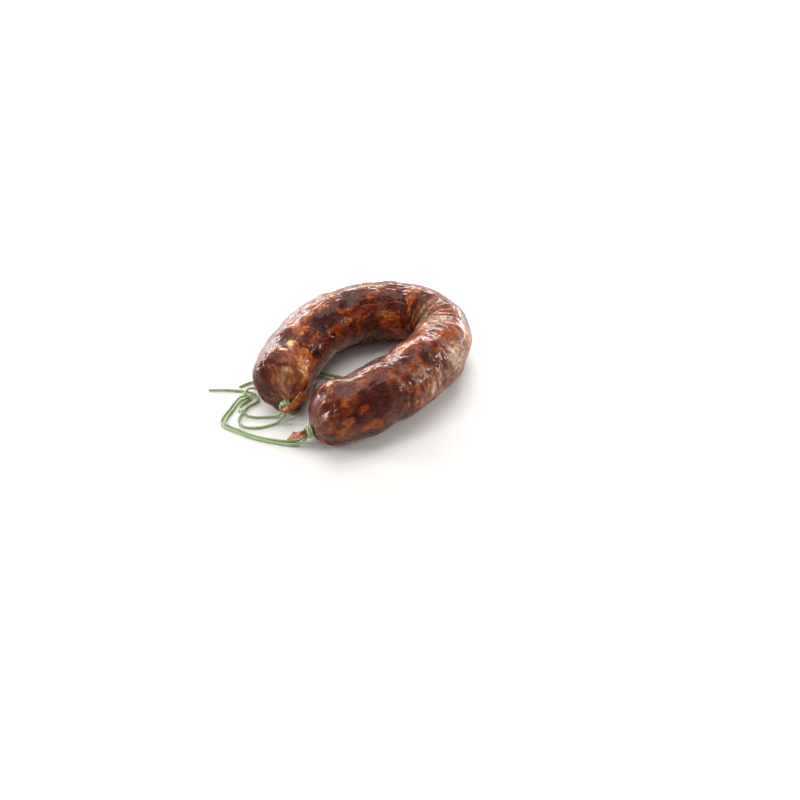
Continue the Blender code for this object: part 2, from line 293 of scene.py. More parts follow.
def twine_mesh(name, path, bare=(False, False)):
    """A plied strand along a path, with loose fibres, and a brush of fibres at each bare end."""
    count = len(path)
    wander = np.stack([noise(path + 40 * axis, 5.0, 70 + axis) for axis in range(3)], axis=1) * WANDER
    path = path + wander * np.sin(np.linspace(0, np.pi, count))[:, None] ** 0.5
    path[:, 2] = np.maximum(path[:, 2], TWINE / 2 + ABOVE_FLOOR)
    sides, ups = frames_along(path)
    run = np.arange(count) * length_of(path) / (count - 1)
    around = np.arange(TWINE_AROUND) * 2 * np.pi / TWINE_AROUND
    turn = around[None, :] + run[:, None] * 2 * np.pi / TWIST
    crest = np.abs(np.cos(PLIES / 2 * around))[None, :] * np.ones((count, 1))
    thick = TWINE / 2 * (1 - GROOVE * (1 - crest)) * (0.985 + 0.05 * noise(path, 3.5, 21))[:, None]
    for end, open_end in ((0, bare[0]), (-1, bare[1])):
        thick[end] *= 0.8 if open_end else 0.9
    ring = sides[:, None] * np.cos(turn)[..., None] + ups[:, None] * np.sin(turn)[..., None]
    points = [(path[:, None] + ring * thick[..., None]).reshape(-1, 3)]
    faces = tube_faces(count, TWINE_AROUND)
    # Crest heights, which the material also uses to darken the grooves: painted shade.
    ply = [crest.ravel()]
    hairs = []
    for at in np.arange(FIBRE_EVERY, run[-1], FIBRE_EVERY):
        i = int(at / run[-1] * (count - 1))
        j = rng.integers(TWINE_AROUND)
        outward = ring[i, j] + rng.normal(0, 0.5, 3)
        hairs.append((path[i] + ring[i, j] * thick[i, j] * 0.9, outward, rng.uniform(*FIBRE_LENGTHS)))
    for end, inner, open_end in ((0, 1, bare[0]), (-1, -2, bare[1])):
        if open_end:
            out = (path[end] - path[inner]) / np.linalg.norm(path[end] - path[inner])
            for _ in range(BRUSH_FIBRES):
                off = rng.normal(0, 0.36, 2) @ np.array([sides[end], ups[end]])
                hairs.append((path[end] - out * 0.3 + off, out + off * 0.6, rng.uniform(*BRUSH_LENGTHS)))
    for start, way, long in hairs:
        way = way / np.linalg.norm(way)
        hair = fibre(start, way, long, np.clip(rng.normal(0, 0.3, 3), -0.5, 0.5) - (0, 0, 0.25))
        hair[:, 2] = np.maximum(hair[:, 2], 0.06)
        faces += tube_faces(4, 3, sum(len(part) for part in points))
        points.append(hair)
        ply.append(np.full(len(hair), 1.1))
    return mesh_object(name, np.concatenate(points), faces, {"ply": np.concatenate(ply)}), path


# %% [markdown]
# ## How the twine lies
# These are the routes of the six strands, as the photograph shows them: a long cut end to the left, a
# short one that curls back, a doubled loop and a single one between the knot and the ties, and one strand
# in the gap of the horseshoe. Twine is limp, so each lies flat and rises only over another strand or to a
# tie. A third number is the height of a lifted point.

# %% Lay the strands
LYING = 0.9
OVER = LYING + TWINE + 0.2
ROUTES = {
    "twine_long_end": (
        (-58.5, -73.4), (-51.6, -66.7), (-43.5, -60.2), (-40.2, -58.3), (-36.6, -57.1), (-33.2, -57.0),
        (-30.6, -58.7), (-30.2, -62.1), (-30.6, -66.6), (-29.4, -71.0), (-27.6, -75.0), (-25.6, -78.5),
        (-21.8, -80.7), (-16.5, -79.1), (-12.0, -74.6), (-9.0, -69.1), (-7.2, -64.6, 1.4),
        (-6.1, -61.2, 3.7), (-5.8, -60.0, 4.7), (-6.3, -58.8, 6.0),
    ),
    "twine_outer": (
        (-37.9, -62.6, 2.2), (-39.6, -65.3, 1.4), (-39.2, -69.5), (-37.2, -74.4), (-35.5, -79.0),
        (-33.9, -83.7), (-31.6, -87.2), (-27.9, -88.6), (-24.0, -87.7), (-19.5, -86.6), (-12.5, -84.8),
        (-5.0, -81.8), (3.0, -77.6), (10.0, -73.6), (15.0, -69.6, 1.2), (17.3, -66.6, 3.6),
        (17.6, -65.5, 4.7), (18.3, -64.3, 6.2),
    ),
    "twine_outer_pair": (
        (-35.9, -62.9, 2.0), (-37.4, -65.9, 1.2), (-37.1, -69.3), (-35.1, -73.7), (-33.4, -78.3),
        (-31.8, -82.7), (-30.1, -85.1), (-27.6, -86.1), (-23.8, -85.5), (-19.0, -84.4), (-12.0, -82.6),
        (-4.4, -79.4), (3.2, -75.0), (8.8, -70.6), (12.6, -66.6, 1.4), (14.6, -64.0, 3.3),
        (15.2, -62.9, 4.1), (16.6, -62.4, 6.0),
    ),
    "twine_inner": (
        (-35.0, -62.4, 2.4), (-34.1, -65.6, 1.4), (-34.4, -69.0), (-32.5, -72.1), (-28.7, -73.2, OVER),
        (-24.6, -72.5), (-19.8, -69.8), (-15.5, -65.8), (-11.8, -61.8, 1.8), (-9.7, -59.6, 3.8),
        (-8.4, -58.0, 5.9),
    ),
    "twine_short_end": (
        (-47.6, -58.6), (-46.7, -55.7), (-45.9, -52.4), (-44.2, -48.9), (-41.2, -47.4), (-38.6, -49.1),
        (-38.6, -52.3), (-40.2, -55.0, 1.9), (-40.6, -57.7, OVER), (-40.0, -59.8, OVER),
        (-38.7, -61.9, 2.3),
    ),
    "twine_gap": (
        (-5.6, -57.2, 5.9), (-4.4, -55.8, 3.8), (-4.4, -53.0, 1.9), (-5.2, -49.8), (-7.6, -44.4),
        (-9.8, -38.0), (-11.6, -32.0), (-14.6, -26.6), (-18.8, -23.6), (-20.4, -20.4), (-17.6, -17.4),
        (-13.2, -15.7), (-7.5, -14.2), (-2.0, -13.6), (1.8, -11.2), (1.2, -7.6), (-2.8, -7.0), (-7.3, -8.7),
        (-14.0, -12.0), (-20.7, -15.2), (-23.8, -16.7),
    ),
}
# Where each strand leaves the object, the end of its route that it is, and what its other end is.
EXITS = {
    "twine_long_end": (-1, "bare"),
    "twine_outer": (-1, "knot"),
    "twine_outer_pair": (-1, "knot"),
    "twine_inner": (-1, "knot"),
    "twine_short_end": (-1, "bare"),
    "twine_gap": (0, "bare"),
}
strands = {}
for name, route in ROUTES.items():
    line = smooth([(*place, LYING)[:3] for place in route], TWINE_STEP)
    line[:, 2] = np.maximum(line[:, 2], LYING)
    exit_end, far_end = EXITS[name]
    cut = far_end == "bare"
    bare = (cut, False) if exit_end == -1 else (False, cut)
    strand, line = twine_mesh(name.replace("twine", "cotton"), line, bare)
    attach(strand, "root")
    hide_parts(name)
    strands[name] = (strand, line)
    print(name, "is", round(length_of(line), 1), "mm long")

# %% [markdown]
# ## The knot
# Beside the sausage the strands meet in a pulled-tight tangle. A trefoil, the path of an overhand knot
# joined to itself, gives the crossings. Flattened to the size of the solid, it looks like the real one.

# %% Tie the knot
knot_low, knot_high = (np.array(corner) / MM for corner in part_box("knot"))
knot_middle = (knot_low + knot_high) / 2
knot_half = (knot_high - knot_low) / 2 - TWINE / 2
t = np.linspace(0, 2 * np.pi, 90)[:-2]
trefoil = np.stack([np.sin(t) + 2 * np.sin(2 * t), np.cos(t) - 2 * np.cos(2 * t), -np.sin(3 * t)], axis=1)
trefoil = trefoil / np.abs(trefoil).max(axis=0) * knot_half + knot_middle
knot, _ = twine_mesh("cotton_knot", smooth(trefoil, TWINE_STEP))
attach(knot, "root")
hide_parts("knot")
print("the knot takes", round(length_of(trefoil), 1), "mm of twine")

# %% [markdown]
# ## The cords
# Each strand's exit end and far end are listed in EXITS, and its length is measured on the path itself, so
# it can't drift from the mesh. Here the strands are counted.

for name, (strand, line) in strands.items():
    exit_end, far_end = EXITS[name]
print(len(strands), "cords declared")

# %% [markdown]
# ## The tube of the sausage
# Seen from above, the middle of the sausage is four arcs that run into each other, with the tightest at
# the bend. Its radius varies a little, it sinks onto its flat underside, and both ends close to a neck.
# These are the formulas of the solid, because the skin made here replaces it and must have its form.

# %% The centreline
START = (-21.67, -43.69)
HEADING = 123.59
ARC_LENGTHS = (30.2, 82.8, 34.7, 86.1)
ARC_RADII = (100.3, 57.9, 21.0, 121.6)
ARC_BLEND = 10.0
STEP = 0.25
RADII = (18.5, 18.4, 18.6, 18.5, 17.5, 19.3, 19.7, 19.2)
SUNK = 0.5

stations = np.arange(0.0, sum(ARC_LENGTHS) + STEP / 2, STEP)
bends = [1.0 / radius for radius in ARC_RADII]
turning = np.full(len(stations), bends[0])
for joint, before, after in zip(np.cumsum(ARC_LENGTHS)[:-1], bends, bends[1:]):
    turning += (after - before) * 0.5 * (1 + np.tanh((stations - joint) / ARC_BLEND))
headings = np.radians(HEADING) - np.concatenate([[0], np.cumsum((turning[1:] + turning[:-1]) / 2 * STEP)])
half_way = (headings[1:] + headings[:-1]) / 2
places = np.stack([START[0] + np.concatenate([[0], np.cumsum(np.cos(half_way) * STEP)]),
                   START[1] + np.concatenate([[0], np.cumsum(np.sin(half_way) * STEP)])], axis=1)
LENGTH = stations[-1]
print("the tube is", LENGTH, "mm long between its closed ends")

# %% The rings round the tube and its closed ends
END_A = {"length": 17.5, "aside": 4.5, "blunt": 4.6}
END_B = {"length": 18.5, "aside": 1.0, "blunt": 2.3}
NECK_RADIUS = 2.2
NECK_LENGTH = 4.6
NECK_DIP = 0.52
CLOSING = 0.55
PLEATS = 9
PLEAT_DEPTH = 0.13
PLEAT_FADE = 0.7
BEND_AT = 128.0
BEND_REACH = 20.0
INNER_PINCH = 0.055


def tube_radius(station):
    return np.interp(station, np.linspace(0, LENGTH, len(RADII)), RADII)


def near(angle, middle, spread):
    """1 at the middle angle, falling to 0 at the spread to either side, in degrees."""
    off = np.abs((angle - middle + 180.0) % 360.0 - 180.0)
    return np.cos(np.clip(off / spread, 0, 1) * np.pi / 2) ** 2


def end_frame(which):
    """A closed end's shape, its station, place, way out, outer side and radius."""
    station, sign, shape = (0.0, -1.0, END_A) if which == "a" else (LENGTH, 1.0, END_B)
    heading = np.interp(station, stations, headings)
    place = np.array([np.interp(station, stations, places[:, axis]) for axis in (0, 1)] + [0.0])
    way_out = sign * np.array([np.cos(heading), np.sin(heading), 0.0])
    outward = np.array([-np.sin(heading), np.cos(heading), 0.0])
    return shape, station, place, way_out, outward, tube_radius(station)


def ring_at(run, angle, out):
    """A ring of the skin. Run is the station, below 0 in end A and past LENGTH in end B. Out lifts it."""
    turn = np.radians(angle)
    if 0 <= run <= LENGTH:
        heading = np.interp(run, stations, headings)
        middle = np.array([np.interp(run, stations, places[:, axis]) for axis in (0, 1)] + [0.0])
        outward = np.array([-np.sin(heading), np.cos(heading), 0.0])
        radius = size = tube_radius(run)
        squeeze = INNER_PINCH * np.exp(-(((run - BEND_AT) / BEND_REACH) ** 2)) * near(angle, 180.0, 90.0)
        spread = radius * (1 - squeeze) + out
    else:
        shape, station, place, way_out, outward, radius = end_frame("a" if run < 0 else "b")
        past = -run if run < 0 else run - LENGTH
        share = min(past / shape["length"], 1.0)
        closing = (1 - share ** shape["blunt"]) ** CLOSING
        size = NECK_RADIUS + (radius - NECK_RADIUS) * closing
        pleats = 1 + PLEAT_DEPTH * (1 - closing) ** PLEAT_FADE * np.cos(PLEATS * turn)
        spread = size * pleats + out * min(1.0, closing * 1.6)
        middle = place + way_out * past - outward * shape["aside"] * (1 - closing)
    side, up = spread * np.cos(turn), spread * np.sin(turn)
    points = middle + np.outer(side, outward)
    points[:, 2] = np.maximum(radius - SUNK - NECK_DIP * (radius - size) + up, 0.0)
    return points


def neck_middle(which, share):
    """The middle of a neck, share 1 where it starts and 2 where it ends."""
    shape, _, place, way_out, outward, radius = end_frame(which)
    flat = place + way_out * (shape["length"] + (share - 1) * NECK_LENGTH) - outward * shape["aside"]
    return flat + (0, 0, radius - SUNK - NECK_DIP * (radius - NECK_RADIUS))


print("necks at", neck_middle("a", 1.5).round(1), neck_middle("b", 1.5).round(1))

# %% [markdown]
# ## A fine grid over the tube
# Every pattern below is worked out on one grid: how far along the tube a point is, and its angle round
# it. The angle is 0 on the outer side of the bend, 90 on top and 180 on the inner side. For noise the
# grid is unrolled to a straight tube, so that patterns follow the sausage and have no seam.

# %% Lay out the grid
AROUND = 200
ROW_STEP = 0.62
CAP_ROWS = 44
NECK_ROWS = 7


def cap_runs(shape):
    """How far past the tube each ring of a closed end lies, closer together where it curves in."""
    shares = np.sin(np.linspace(0, np.pi / 2, CAP_ROWS + 1)[1:]) ** 0.9
    necks = shape["length"] + np.linspace(0, NECK_LENGTH, NECK_ROWS + 1)[1:]
    return np.concatenate([shares * shape["length"], necks])


body_runs = np.linspace(0, LENGTH, round(LENGTH / ROW_STEP) + 1)
runs = np.concatenate([-cap_runs(END_A)[::-1], body_runs, LENGTH + cap_runs(END_B)])
angles = np.arange(AROUND) * 360.0 / AROUND
along, angle = np.meshgrid(runs, angles, indexing="ij")
turns = np.radians(angle)


def closing_at(run):
    """1 on the tube, falling to 0 at the necks."""
    share_a = np.clip(-run / END_A["length"], 0, 1)
    share_b = np.clip((run - LENGTH) / END_B["length"], 0, 1)
    return ((1 - share_a ** END_A["blunt"]) * (1 - share_b ** END_B["blunt"])) ** CLOSING


closing = closing_at(along)
width = NECK_RADIUS + (tube_radius(along) - NECK_RADIUS) * closing
unrolled = np.stack([along, width * np.cos(turns), width * np.sin(turns)], axis=-1)
print("the grid has", len(runs), "rings of", AROUND, "points")

# %% [markdown]
# ## Meat and fat
# Under the casing lie hand-cut pieces: dark lean pork, fat stained orange by paprika, and clean fat that
# shows cream. A Voronoi texture could scatter them, but the real ones have their own places and shapes.
# So the pieces that stand out are listed by place, size and fatness, and a seeded draw fills the rest.
# Each piece blends into one field, "fat", from 0 for dark lean to 1 for cream. Its edge passes through
# the values between, which are the reds and oranges that rim every piece of fat.

# %% The pieces that stand out
# Along the tube and round it (mm, degrees), half length and half width (mm), tilt (degrees), then how
# fat it is and how red or orange it is stained, both from 0 to 1.
PIECES = (
    # The limb of end A, from its closed end to the arch.
    (-12, 80, 2.4, 8, 0, 0.14, 0.2), (-9, 42, 4.5, 7, 0, 0.26, 0.6), (-14, 35, 3.5, 6, 0, 0.22, 0.5),
    (-5, 75, 5, 5.2, 0, 0.25, 0.8), (-4, 102, 2.4, 1.4, 0, 0.54, 1), (0, 172, 10, 3, 0, 0.2, 0.9),
    (24, 158, 14, 9.5, 0, 0.32, 1), (12, 142, 6, 4.8, 0, 0.05, 0.9), (-3, 137, 10.2, 7.8, 0, 0.68, 0.8),
    (3.6, 127, 4.4, 4.2, 0, 0.7, 0.85), (3, 154, 5, 3.4, 0, 0.66, 0.75),
    (-4.5, 136, 6.4, 4.6, 0, 0.78, 0.55), (20, 131, 7, 1.2, 3, 0.5, 1), (24, 134, 1, 0.9, 0, 0.74, 0.7),
    (12.4, 126, 1.5, 1.3, 0, 0.66, 0.9), (17, 120, 5, 2.2, 0, 0.16, 0.1), (42, 117, 15, 5, 2, 0.1, 0),
    (36, 133, 8, 2.5, 0, 0.14, 0.1), (54.5, 121, 2.9, 1.8, 20, 0.66, 0.8), (45, 147, 12, 1.6, 0, 0.46, 1),
    (58, 144, 3.4, 1.6, 0, 0.7, 0.8), (44, 96, 11, 1.3, 0, 0.58, 1), (42.5, 89, 8.5, 1.8, 2, 0.6, 0.7),
    (47, 75, 12, 3.4, 0, 0.56, 1), (36, 71, 4, 2.4, 0, 0.5, 1), (22, 88, 4.8, 2, 0, 0.72, 0.3),
    (25, 75, 3, 2, 0, 0.6, 0.9), (33, 88, 3.5, 1.4, 0, 0.58, 0.1), (18, 106.5, 2.6, 0.9, 5, 0.8, 0.3),
    (10, 84, 6, 2.6, 0, 0.28, 0.2), (7.4, 103, 4.8, 2.4, 0, 0.5, 1), (7.8, 97.5, 3.7, 2.5, 0, 0.9, 0.3),
    (0.6, 82, 1.8, 5.4, 0, 0.68, 1), (0.8, 88, 1.3, 2.4, 0, 0.84, 0.8), (13, 67, 3, 2, 0, 0.5, 1),
    (55.5, 82, 5, 2.4, 0, 0.64, 0.5),
    # The arch.
    (66, 108, 6, 3, -5, 0.14, 0.1), (71, 133, 9, 3, 0, 0.34, 0.9), (70, 124, 2.2, 0.9, 0, 0.02, 0.1),
    (73.5, 148, 1.7, 1, 0, 0.7, 0.7), (77, 145, 1.3, 0.9, 0, 0.66, 0.8), (62, 172, 8, 4, 0, 0.3, 0.8),
    (67, 172, 2.4, 1, 0, 0.52, 0.5), (77, 172, 9.5, 7.5, 0, 0.18, 0.15), (79.5, 108, 1.8, 2.8, 10, 0.54, 1),
    (78.5, 84, 2.5, 2.3, 0, 0.78, 0.75), (85, 85, 3.4, 1.6, 0, 0.74, 0.3), (86, 93, 2, 0.9, 0, 0.64, 1),
    (93, 118, 9, 3.8, 0, 0.14, 0.8), (90, 104, 3, 1.5, 0, 0.32, 0.1), (100, 103, 3, 3, 0, 0.2, 0.3),
    (88.2, 142, 2, 1.4, 0, 0.56, 0.5), (96, 146, 4.6, 1.2, -22, 0.52, 0.5),
    (105.5, 142, 5, 3.2, 0, 0.24, 0.5), (107.5, 158, 4, 3, 0, 0.3, 0.9), (96, 136, 6, 2.4, 0, 0.2, 0.6),
    (93, 166, 7.4, 4.4, 0, 0.45, 1), (96, 159, 3, 1.4, 0, 0.56, 1), (90, 173, 3, 1.2, 0, 0.48, 1),
    (101, 184, 6, 1.4, 0, 0.58, 0.7), (93.5, 188, 1.8, 1.2, 0, 0.2, 1), (103.5, 125, 2.4, 5, 0, 0.12, 0.1),
    (109.3, 115, 3.2, 3.5, 0, 0.69, 0.88), (107.4, 120, 1.6, 1.4, 0, 0.74, 0.7),
    (114, 106, 2, 2, 0, 0.36, 1), (108.5, 88, 4.6, 2.6, 0, 0.66, 0.25),
    (113.5, 170, 1.3, 2.4, 0, 0.82, 0.5),
    # The bend. Its pale pieces on the outer side, at 147, 158 and 160 mm, are cream fat and a painted
    # highlight.
    (127.5, 86, 1.4, 2.2, 0, 0.6, 1), (128, 107, 1, 2, 0, 0.78, 0.6), (142, 103, 2.6, 1.2, 20, 0.2, 0.3),
    (144, 80, 6, 4, 0, 0.46, 0.9), (137, 66, 1.5, 1.2, 0, 0.6, 1), (146, 65, 1.6, 1.2, 0, 0.62, 1),
    (151.5, 121, 3.8, 1.7, -28, 0.86, 0.4), (157, 78, 6, 4.5, 0, 0.52, 0.95),
    (153, 66, 1.4, 1.8, 0, 0.64, 1), (160.5, 80, 2.4, 2.6, 0, 0.62, 0.8), (160, 44, 6, 3, 0, 0.76, 0.2),
    (158, 50, 1.6, 1.4, 0, 0.72, 0.4), (147, 22, 4.5, 6, 0, 0.68, 0.4), (165, 0, 8, 3, 0, 0.48, 0.9),
    # The limb of end B. The orange piece at 230 mm along its upper edge is fat and painted light shining
    # through the casing's edge.
    (169.5, 81, 3, 2.6, 0, 0.58, 1), (169, 68, 3, 0.7, 0, 0.1, 0.5), (175, 131, 18, 3, 0, 0.42, 0.9),
    (184, -9, 14, 3.4, 0, 0.56, 0.9), (180, 107, 8, 2, 0, 0.58, 0.4), (178.5, 62, 4.5, 6.8, 0, 0.1, 0.4),
    (189, 86, 7, 2.4, 0, 0.18, 0.5), (186, 15, 5.5, 4, 0, 0.52, 0.5), (188.3, 20, 1, 3, 10, 0.7, 0.6),
    (192, 52, 6, 3.5, 0, 0.36, 0.95), (195, 22, 3, 3, 0, 0.46, 1), (198, 48, 6, 4.4, 0, 0.24, 0.7),
    (200.6, 33, 0.9, 3.4, 0, 0.62, 0.9), (200, 104, 6, 1.8, 0, 0.58, 0.4),
    (206.5, 44, 2.6, 4.6, 0, 0.14, 0.2), (205.5, 69, 2.4, 1.9, 0, 0.56, 0.9),
    (213, 102, 6, 1.5, 0, 0.62, 0.4), (210, 0, 6, 5, 0, 0.34, 0.6), (218, 48, 10, 9.5, 0, 0.15, 0.5),
    (221.5, 61, 2.4, 3, 0, 0.3, 1), (226.6, 37, 2.3, 2.4, 0, 0.48, 1), (223, 2, 2.7, 3.6, 0, 0.58, 0.65),
    (233, 82, 5.5, 3, 0, 0.18, 0.4), (237, 41, 4.5, 2.5, 0, 0.44, 0.9),
    (236.3, 57, 3.4, 2.2, 0, 0.67, 0.95), (236.5, 22, 3.8, 2.5, 0, 0.66, 0.6),
    (230, 127, 8, 2, 0, 0.6, 0.95), (246, 105, 3.5, 6, 0, 0.28, 0.9),
)
ELSEWHERE = 330
FATNESS = (0.08, 0.20, 0.42, 0.55, 0.66, 0.85)
SHARES = (0.22, 0.24, 0.18, 0.18, 0.13, 0.05)

draw = np.random.default_rng(7)
scattered = []
for _ in range(ELSEWHERE):
    where = draw.uniform(-16, LENGTH + 16), draw.uniform(0, 360)
    sizes = draw.uniform(1.4, 6.0), draw.uniform(1.0, 3.6), draw.uniform(-40, 40)
    scattered.append((*where, *sizes, draw.choice(FATNESS, p=SHARES), draw.uniform(0, 1)))
print(len(PIECES), "pieces placed by hand and", len(scattered), "by the draw")

# %% Blend the pieces into fields over the grid
PIECE_EDGE = 0.42
WARPS = ((5.0, 0.6), (2.0, 0.7))
warp_along = sum(noise(unrolled, size, 31 + i) * reach for i, (size, reach) in enumerate(WARPS))
warp_round = sum(noise(unrolled, size, 41 + i) * reach for i, (size, reach) in enumerate(WARPS))


def smooth_step(low, high, value):
    t = np.clip((value - low) / (high - low), 0, 1)
    return t * t * (3 - 2 * t)


def between(rise, full, fade, gone):
    """1 along the tube from `full` to `fade`, falling to 0 at `rise` and `gone`, in mm."""
    return smooth_step(rise, full, along) * (1 - smooth_step(fade, gone, along))


def inside(piece):
    """1 inside a piece of meat or fat, falling to 0 past its ragged edge."""
    at, round_it, half_long, half_wide, tilt = piece[:5]
    forward = along - at + warp_along
    across = np.radians((angle - round_it + 180) % 360 - 180) * np.maximum(width, 6.0) + warp_round
    c, s = np.cos(np.radians(tilt)), np.sin(np.radians(tilt))
    away_by = np.hypot((forward * c + across * s) / half_long, (across * c - forward * s) / half_wide)
    return 1 - smooth_step(1 - PIECE_EDGE, 1 + PIECE_EDGE, away_by)


# Between the pieces fat and stain drift about a middle value: how far, over how many mm, and the seed.
MIDDLE_FAT, FAT_DRIFTS = 0.36, ((0.15, 8.0, 51), (0.13, 3.4, 52))
MIDDLE_STAIN, STAIN_DRIFTS = 0.54, ((0.40, 10.0, 53), (0.15, 3.5, 54))
lengthwise = unrolled * (0.55, 1, 1)
fat = MIDDLE_FAT + sum(reach * noise(lengthwise, size, seed) for reach, size, seed in FAT_DRIFTS)
stain = MIDDLE_STAIN + sum(reach * noise(lengthwise, size, seed) for reach, size, seed in STAIN_DRIFTS)
# The scattered pieces are a little fainter than those listed, which lie over them.
for firm, pieces in ((0.75, scattered), (1.0, PIECES)):
    for piece in pieces:
        weight = inside(piece) * firm
        fat += (piece[5] - fat) * weight
        stain += (piece[6] - stain) * weight
# The gathered end shows pale folds. The outside is leaner. The inside of the arch is made fatter and
# redder, which lightens it: painted light where the front limb shades it.
FOLD_FAT, FOLD_STAIN = 0.68, 0.55
gathered = smooth_step(9.5, 13.0, -along) * near(angle, 108.0, 75.0)
fat += (FOLD_FAT + 0.24 * noise(unrolled * (0.2, 1, 1), 2.2, 56) - fat) * gathered
stain += (FOLD_STAIN - stain) * gathered
painted_light_in_arch = near(angle, 165.0, 66.0) * between(55, 75, 105, 120)
outside = near(angle, 350.0, 85.0) * (1 - smooth_step(120, 150, along))
for zone, more_fat, more_stain in ((painted_light_in_arch, 0.13, 0.20), (outside, -0.09, -0.12)):
    fat += more_fat * zone
    stain += more_stain * zone
fat += 0.06 * noise(lengthwise, 1.5, 55)
print("fatness from", fat.min().round(2), "to", fat.max().round(2), "mean", fat.mean().round(2))

# %% [markdown]
# ## Dry film
# In the tight bend, on the wrinkled outer side and towards the ties the casing stands off the meat. There
# it is a dry, tan film that hides the meat, and milky where it stands off most. It could be painted by
# hand. Here it follows from the place on the tube, broken up by noise, so it stays with the folds. On the
# outer side of the bend and on the inner rim of end A's limb the pale film is also painted light: a
# painted highlight and painted backlight.

# %% Where the casing stands off
# How much film each place has, from 0, clear, to 1, which hides the meat. On the inner rim of end A's
# limb and the outer side of the bend the pale film also stands for light: painted backlight and a painted
# highlight.
FILM = {"everywhere": 0.10, "bend": 0.62, "fan": 0.35, "neck": 0.35, "rim_film_and_painted_backlight": 0.85, "streaks": 0.42,
        "hump_film_and_painted_highlight": 1.1, "crests": 0.12}
in_bend = between(113, 126, 152, 172)
to_neck = 1 - closing
fan = smooth_step(10.0, 13.0, -along) * near(angle, 108.0, 70.0)
# The inner rim of end A's limb: dry film, and painted backlight shining through the casing's edge.
rim_film_and_painted_backlight = near(angle, 198.0, 26.0) * (1 - smooth_step(50, 90, along))
streaked = near(angle, 12.0, 40.0) * between(166, 178, 192, 206)
# The outer side of the bend: dry film, raised into a painted highlight.
hump_film_and_painted_highlight = near(angle, 26.0, 44.0) * np.exp(-(((along - 161) / 9) ** 2))
crested = near(angle, 60.0, 50.0) * between(168, 176, 200, 212)
film = FILM["everywhere"] + 0.16 * noise(unrolled * (1, 0.45, 0.45), 5.0, 61)
broken_bend = FILM["bend"] + 0.25 * noise(unrolled * (1, 0.3, 0.3), 3.0, 62)
film += in_bend * near(angle, 118.0, 95.0) * broken_bend
film += FILM["fan"] * fan * (1 + 0.6 * noise(unrolled, 4.0, 63))
film += FILM["neck"] * smooth_step(0.45, 0.85, to_neck) + FILM["rim_film_and_painted_backlight"] * rim_film_and_painted_backlight + FILM["hump_film_and_painted_highlight"] * hump_film_and_painted_highlight
film += (FILM["streaks"] + 0.60 * noise(unrolled * (1, 0.25, 0.25), 1.8, 57)) * streaked
film += np.clip(FILM["crests"] + 0.55 * noise(unrolled * (1, 0.4, 0.4), 2.6, 58), 0, 1) * crested
film = np.clip(film, 0, 1)
print("film covers", round(float((film > 0.4).mean()) * 100), "% of the skin")

# %% [markdown]
# ## Relief
# As the meat dries it shrinks, and the casing wrinkles over it. The large forms are those of the solid:
# lumps, eight creases that fan out of the bend, and soft waves on the outer side. Over them come lumps of
# meat, fat that shrinks less than lean and so stands proud, fine shrink wrinkles along the limbs, and
# folds across the tube in the bend. A displaced material would be lost in an export, so this is geometry.

# %% Work out the relief
LUMPS = ((31.0, 0.4, 1, 0.55), (19.0, 2.1, 2, 0.32), (47.0, 4.0, 3, 0.35), (12.5, 1.2, 1, 0.18))
CREASES = (
    (101.0, 0.4), (108.0, 0.6), (114.5, 1.1), (120.5, 0.8),
    (126.0, 1.1), (133.0, 1.0), (140.0, 0.8), (147.5, 0.6),
)
CREASE_WIDTH = 1.9
CREASE_MIDDLE = 140.0
CREASE_SPREAD = 75.0
WAVES = {"from": 150.0, "to": 205.0, "spacing": 7.2, "depth": 0.45, "middle": 20.0, "spread": 80.0}

held = np.clip(along, 0, LENGTH)
relief = np.zeros_like(along)
for wave, phase, lobes, height in LUMPS:
    relief += height * np.sin(2 * np.pi * held / wave + phase) * np.cos(lobes * turns + phase * 2)
wander = 0.9 * noise(unrolled * (0.2, 1, 1), 7.0, 64)
for at, depth in CREASES:
    falls = np.exp(-(((held + wander - at) / CREASE_WIDTH) ** 2))
    relief -= depth * falls * near(angle, CREASE_MIDDLE, CREASE_SPREAD)
share = np.clip((held - WAVES["from"]) / (WAVES["to"] - WAVES["from"]), 0, 1)
drifted = held + 2.4 * noise(unrolled, 11.0, 59) - WAVES["from"]
wave = np.cos(2 * np.pi * drifted / WAVES["spacing"] + 0.9 * np.sin(2 * turns))
broken = 0.35 + 0.6 * noise(unrolled, 8.0, 60)
waved = np.sin(np.pi * share) * near(angle, WAVES["middle"], WAVES["spread"])
relief += WAVES["depth"] * broken * wave * waved


def ridges(points, size, seed):
    """Sharp crests on a flat ground, from 0 to 1, as thin skin wrinkles when what it covers shrinks."""
    return np.clip(1 - 2.2 * np.abs(noise(points, size, seed)), 0, 1) ** 1.5


crosswise = unrolled * (1, 0.32, 0.32)
across_zone = in_bend * near(angle, 120.0, 130.0)
across_zone += near(angle, 20.0, 75.0) * between(160, 175, 204, 222)
along_zone = np.clip(1 - across_zone, 0, 1)
by_neck = np.clip(to_neck, 0, 0.7)
SMALL_LUMPS = 0.24
FAT_PROUD = 0.34
FAT_LEVEL = 0.35
MEAN_RELIEF = 0.25
relief += SMALL_LUMPS * noise(lengthwise, 6.0, 65) + FAT_PROUD * (fat - FAT_LEVEL)
# Wrinkles: where, the way they run, their height and spacing in mm, and the seed.
for zone, way, high, apart, seed in (
    (along_zone, lengthwise, 0.26, 3.2, 66), (along_zone, lengthwise, 0.16, 1.6, 67),
    (across_zone, crosswise, 0.34, 3.4, 68), (across_zone, crosswise, 0.20, 1.7, 69),
    (by_neck, unrolled * (0.25, 1, 1), 0.55, 2.6, 70),
):
    relief += zone * high * ridges(way, apart, seed)
relief -= MEAN_RELIEF
print("relief from", relief.min().round(2), "to", relief.max().round(2), "mm")

# %% [markdown]
# ## The skin
# The grid becomes one closed mesh. How far each point lies below its neighbours is stored too, and the
# material's colour is darkened there: painted shade in the hollows.

